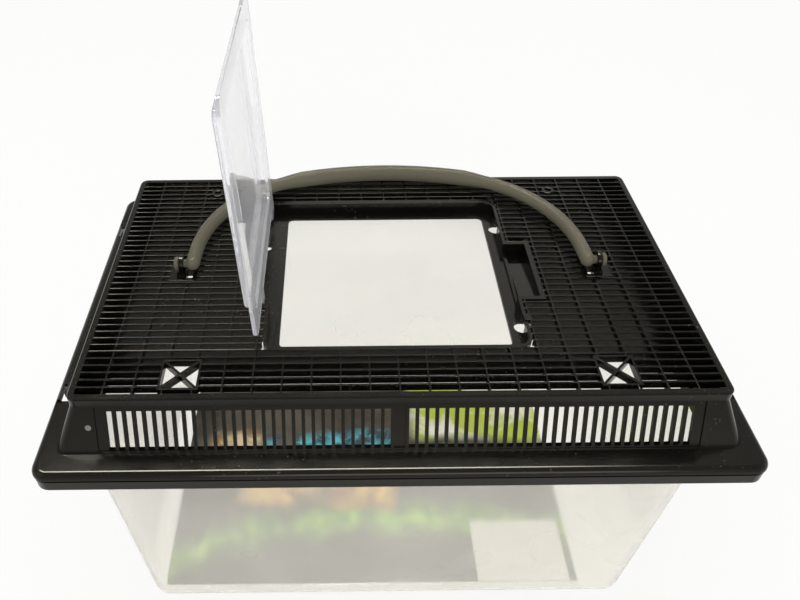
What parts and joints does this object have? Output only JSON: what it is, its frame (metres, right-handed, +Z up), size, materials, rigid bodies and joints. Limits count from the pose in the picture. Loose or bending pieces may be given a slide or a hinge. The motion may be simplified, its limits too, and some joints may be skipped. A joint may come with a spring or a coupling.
{
  "type": "plastic pet keeper",
  "caption": "Clear tapered tank with a black ventilated press-on lid, a clear lift-up hatch and a folding carry handle.",
  "frame": {"origin": "middle of the footprint, on the surface the tank stands on", "axes": "+X to the right along the width, +Y to the rear along the depth, +Z up; the front is at -Y"},
  "size_m": [0.3, 0.194, 0.2771],
  "materials": {
    "clear_tank": "clear, slightly milky moulded plastic",
    "printed_card": "printed coated card",
    "white_sticker": "plain paper sticker",
    "black_plastic": "black satin moulded plastic",
    "clear_hatch": "clear glossy moulded plastic",
    "handle_plastic": "dark grey satin moulded plastic"
  },
  "bodies": {
    "tank_body": {"tank": "clear_tank", "picture_card": "printed_card", "plain_sticker": "white_sticker"},
    "lid": {"lid_skirt": "black_plastic", "lid_frame": "black_plastic", "front_vent": "black_plastic", "rear_vent": "black_plastic", "deck_grille_front": "black_plastic", "deck_grille_rear": "black_plastic", "deck_grille_left": "black_plastic", "deck_grille_right": "black_plastic", "hatch_well": "black_plastic", "left_handle_ear": "black_plastic", "right_handle_ear": "black_plastic"},
    "left_latch": {"left_latch_flap": "black_plastic"},
    "right_latch": {"right_latch_flap": "black_plastic"},
    "hatch": {"hatch_door": "clear_hatch"},
    "handle": {"carry_handle": "handle_plastic"}
  },
  "joints": [
    {"name": "lid_lift", "type": "slide", "parent": "tank_body", "child": "lid", "axis": [0, 0, 1], "range_m": [0, 0.06]},
    {"name": "hatch_hinge", "type": "hinge", "parent": "lid", "child": "hatch", "pos_m": [-0.0607, 0, 0.16005], "axis": [0, 1, 0], "range_deg": [0, 92]},
    {"name": "handle_pivot", "type": "hinge", "parent": "lid", "child": "handle", "pos_m": [0, 0, 0.16785], "axis": [1, 0, 0], "range_deg": [0, 17]},
    {"name": "left_latch_flex", "type": "hinge", "parent": "lid", "child": "left_latch", "pos_m": [-0.14265, 0, 0.1373], "axis": [0, 1, 0], "range_deg": [0, 8], "stiffness_Nm_per_rad": 0.4},
    {"name": "right_latch_flex", "type": "hinge", "parent": "lid", "child": "right_latch", "pos_m": [0.14265, 0, 0.1373], "axis": [0, -1, 0], "range_deg": [0, 8], "stiffness_Nm_per_rad": 0.4}
  ]
}
